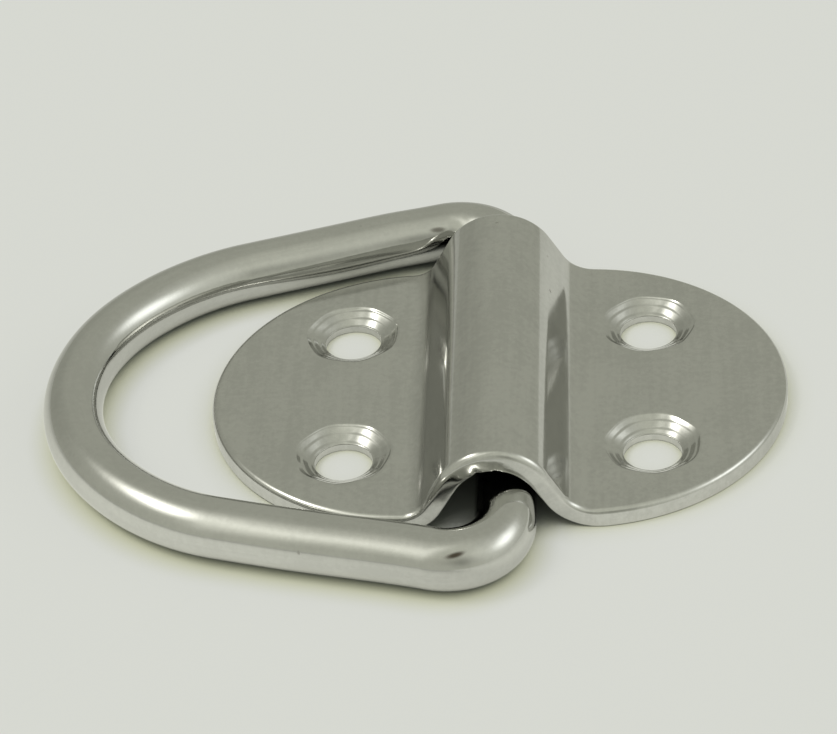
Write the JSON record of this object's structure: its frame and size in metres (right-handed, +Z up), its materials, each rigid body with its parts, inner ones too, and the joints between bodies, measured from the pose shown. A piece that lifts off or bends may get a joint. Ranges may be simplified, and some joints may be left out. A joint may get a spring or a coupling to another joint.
{
  "type": "folding pad eye",
  "caption": "Low pressed plate with rounded ends and a raised saddle across it, whose tunnel holds a D-ring that folds flat to either side and stands up to take a line, hook or shackle.",
  "frame": {"origin": "middle of the four screw holes, on the deck plane under the plate", "axes": "+X along the plate, away from the side that the ring is folded to; +Y along the saddle's tunnel; +Z up, away from the deck"},
  "size_m": [0.0749, 0.0614, 0.0094],
  "materials": {
    "plate_steel": "polished stainless sheet, bright at its rounded edges",
    "ring_steel": "mirror-polished stainless round bar"
  },
  "bodies": {
    "base": {"base_plate": "plate_steel"},
    "ring": {"d_ring": "ring_steel"}
  },
  "joints": [
    {"name": "ring_fold", "type": "hinge", "parent": "base", "child": "ring", "pos_m": [0.00104, -0.0009, 0.003], "axis": [0, 1, 0], "range_deg": [0, 180]}
  ]
}
